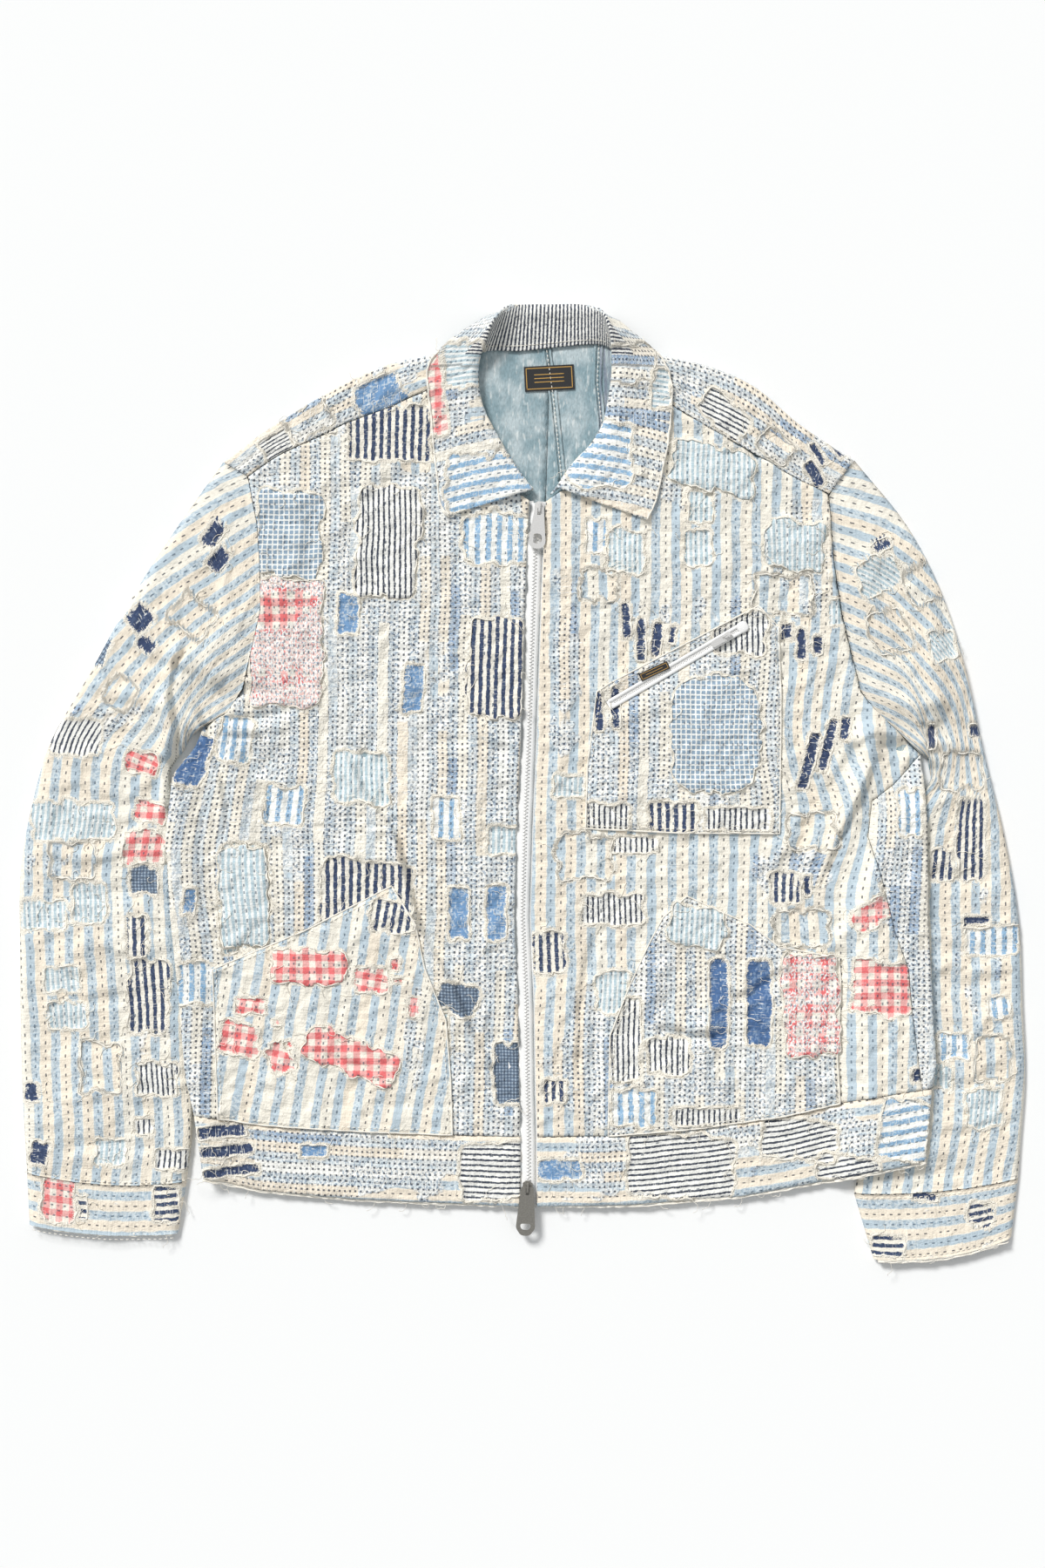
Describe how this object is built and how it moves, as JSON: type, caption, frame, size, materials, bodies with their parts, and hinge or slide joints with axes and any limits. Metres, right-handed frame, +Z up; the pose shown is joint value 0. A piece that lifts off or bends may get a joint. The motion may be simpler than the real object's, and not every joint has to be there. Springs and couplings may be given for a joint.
{
  "type": "patched boro jacket",
  "caption": "Patched boro work jacket laid flat: striped cotton with mended patches, turned-down collar, two-way metal zip, slanted pockets and cuffs.",
  "frame": {"origin": "middle of the bounding box, on the surface that the jacket lies on", "axes": "+Z up from the surface, +Y towards the collar, +X towards the wearer's left sleeve"},
  "size_m": [0.806, 0.7663, 0.0237],
  "materials": {
    "cream_stripe": "cream cotton with woven light-blue stripes, puckered by rows of running stitch",
    "worn_boro": "worn striped cotton, darned and frayed",
    "light_blue": "faded light-blue cotton with fine pale stripes",
    "navy_stripe": "navy stripes on cream cotton",
    "red_gingham": "faded red gingham, frayed edges",
    "blue_check": "indigo cotton with fine white grid",
    "chambray": "blue-grey chambray, washed",
    "zip_tape": "white woven cotton tape",
    "label_black": "plain black woven label with a pale gold border",
    "silver_metal": "bright nickel, lightly worn",
    "dark_metal": "antique nickel, dull"
  },
  "bodies": {
    "jacket": {"front_left": "cream_stripe", "hand_pocket_left": "cream_stripe", "hand_pocket_right": "cream_stripe", "sleeve_left": "cream_stripe", "sleeve_right": "cream_stripe", "cuff_left": "cream_stripe", "cuff_right": "cream_stripe", "waistband_back": "cream_stripe", "waistband_front_left": "cream_stripe", "waistband_front_right": "cream_stripe", "front_right": "worn_boro", "side_panel_left": "worn_boro", "yoke_left": "worn_boro", "yoke_right": "worn_boro", "collar": "worn_boro", "chest_pocket": "worn_boro", "patch_light_armhole": "light_blue", "patch_light_collar": "light_blue", "patch_light_left_pocket": "light_blue", "patch_light_waist": "light_blue", "patch_navy_collar": "navy_stripe", "patch_navy_zip": "navy_stripe", "patch_gingham_chest": "red_gingham", "patch_gingham_left_pocket": "red_gingham", "patch_gingham_pocket_high": "red_gingham", "patch_gingham_pocket_low": "red_gingham", "patch_check_chest": "blue_check", "patch_check_shoulder": "blue_check", "back_left": "chambray", "back_right": "chambray", "zip_tape_left": "zip_tape", "zip_tape_right": "zip_tape", "chest_zip_tape": "zip_tape", "neck_label": "label_black", "pocket_label": "label_black", "zip_chain": "silver_metal", "chest_zip_chain": "silver_metal", "zip_slider_top": "silver_metal", "chest_slider": "silver_metal", "zip_slider_bottom": "dark_metal"},
    "top_pull": {"zip_pull_top": "silver_metal"},
    "bottom_pull": {"zip_pull_bottom": "dark_metal"},
    "chest_pull_tab": {"chest_pull": "silver_metal"}
  },
  "joints": [
    {"name": "top_pull_hinge", "type": "hinge", "parent": "jacket", "child": "top_pull", "pos_m": [0.0135, 0.2195, 0.0091], "axis": [-0.9976, 0.0698, 0], "range_deg": [0, 150]},
    {"name": "bottom_pull_hinge", "type": "hinge", "parent": "jacket", "child": "bottom_pull", "pos_m": [0.004, -0.3245, 0.0091], "axis": [-0.9986, 0.0523, 0], "range_deg": [0, 150]},
    {"name": "chest_pull_hinge", "type": "hinge", "parent": "jacket", "child": "chest_pull_tab", "pos_m": [0.164, 0.1165, 0.0112], "axis": [-0.503, 0.8643, 0], "range_deg": [0, 150]}
  ]
}
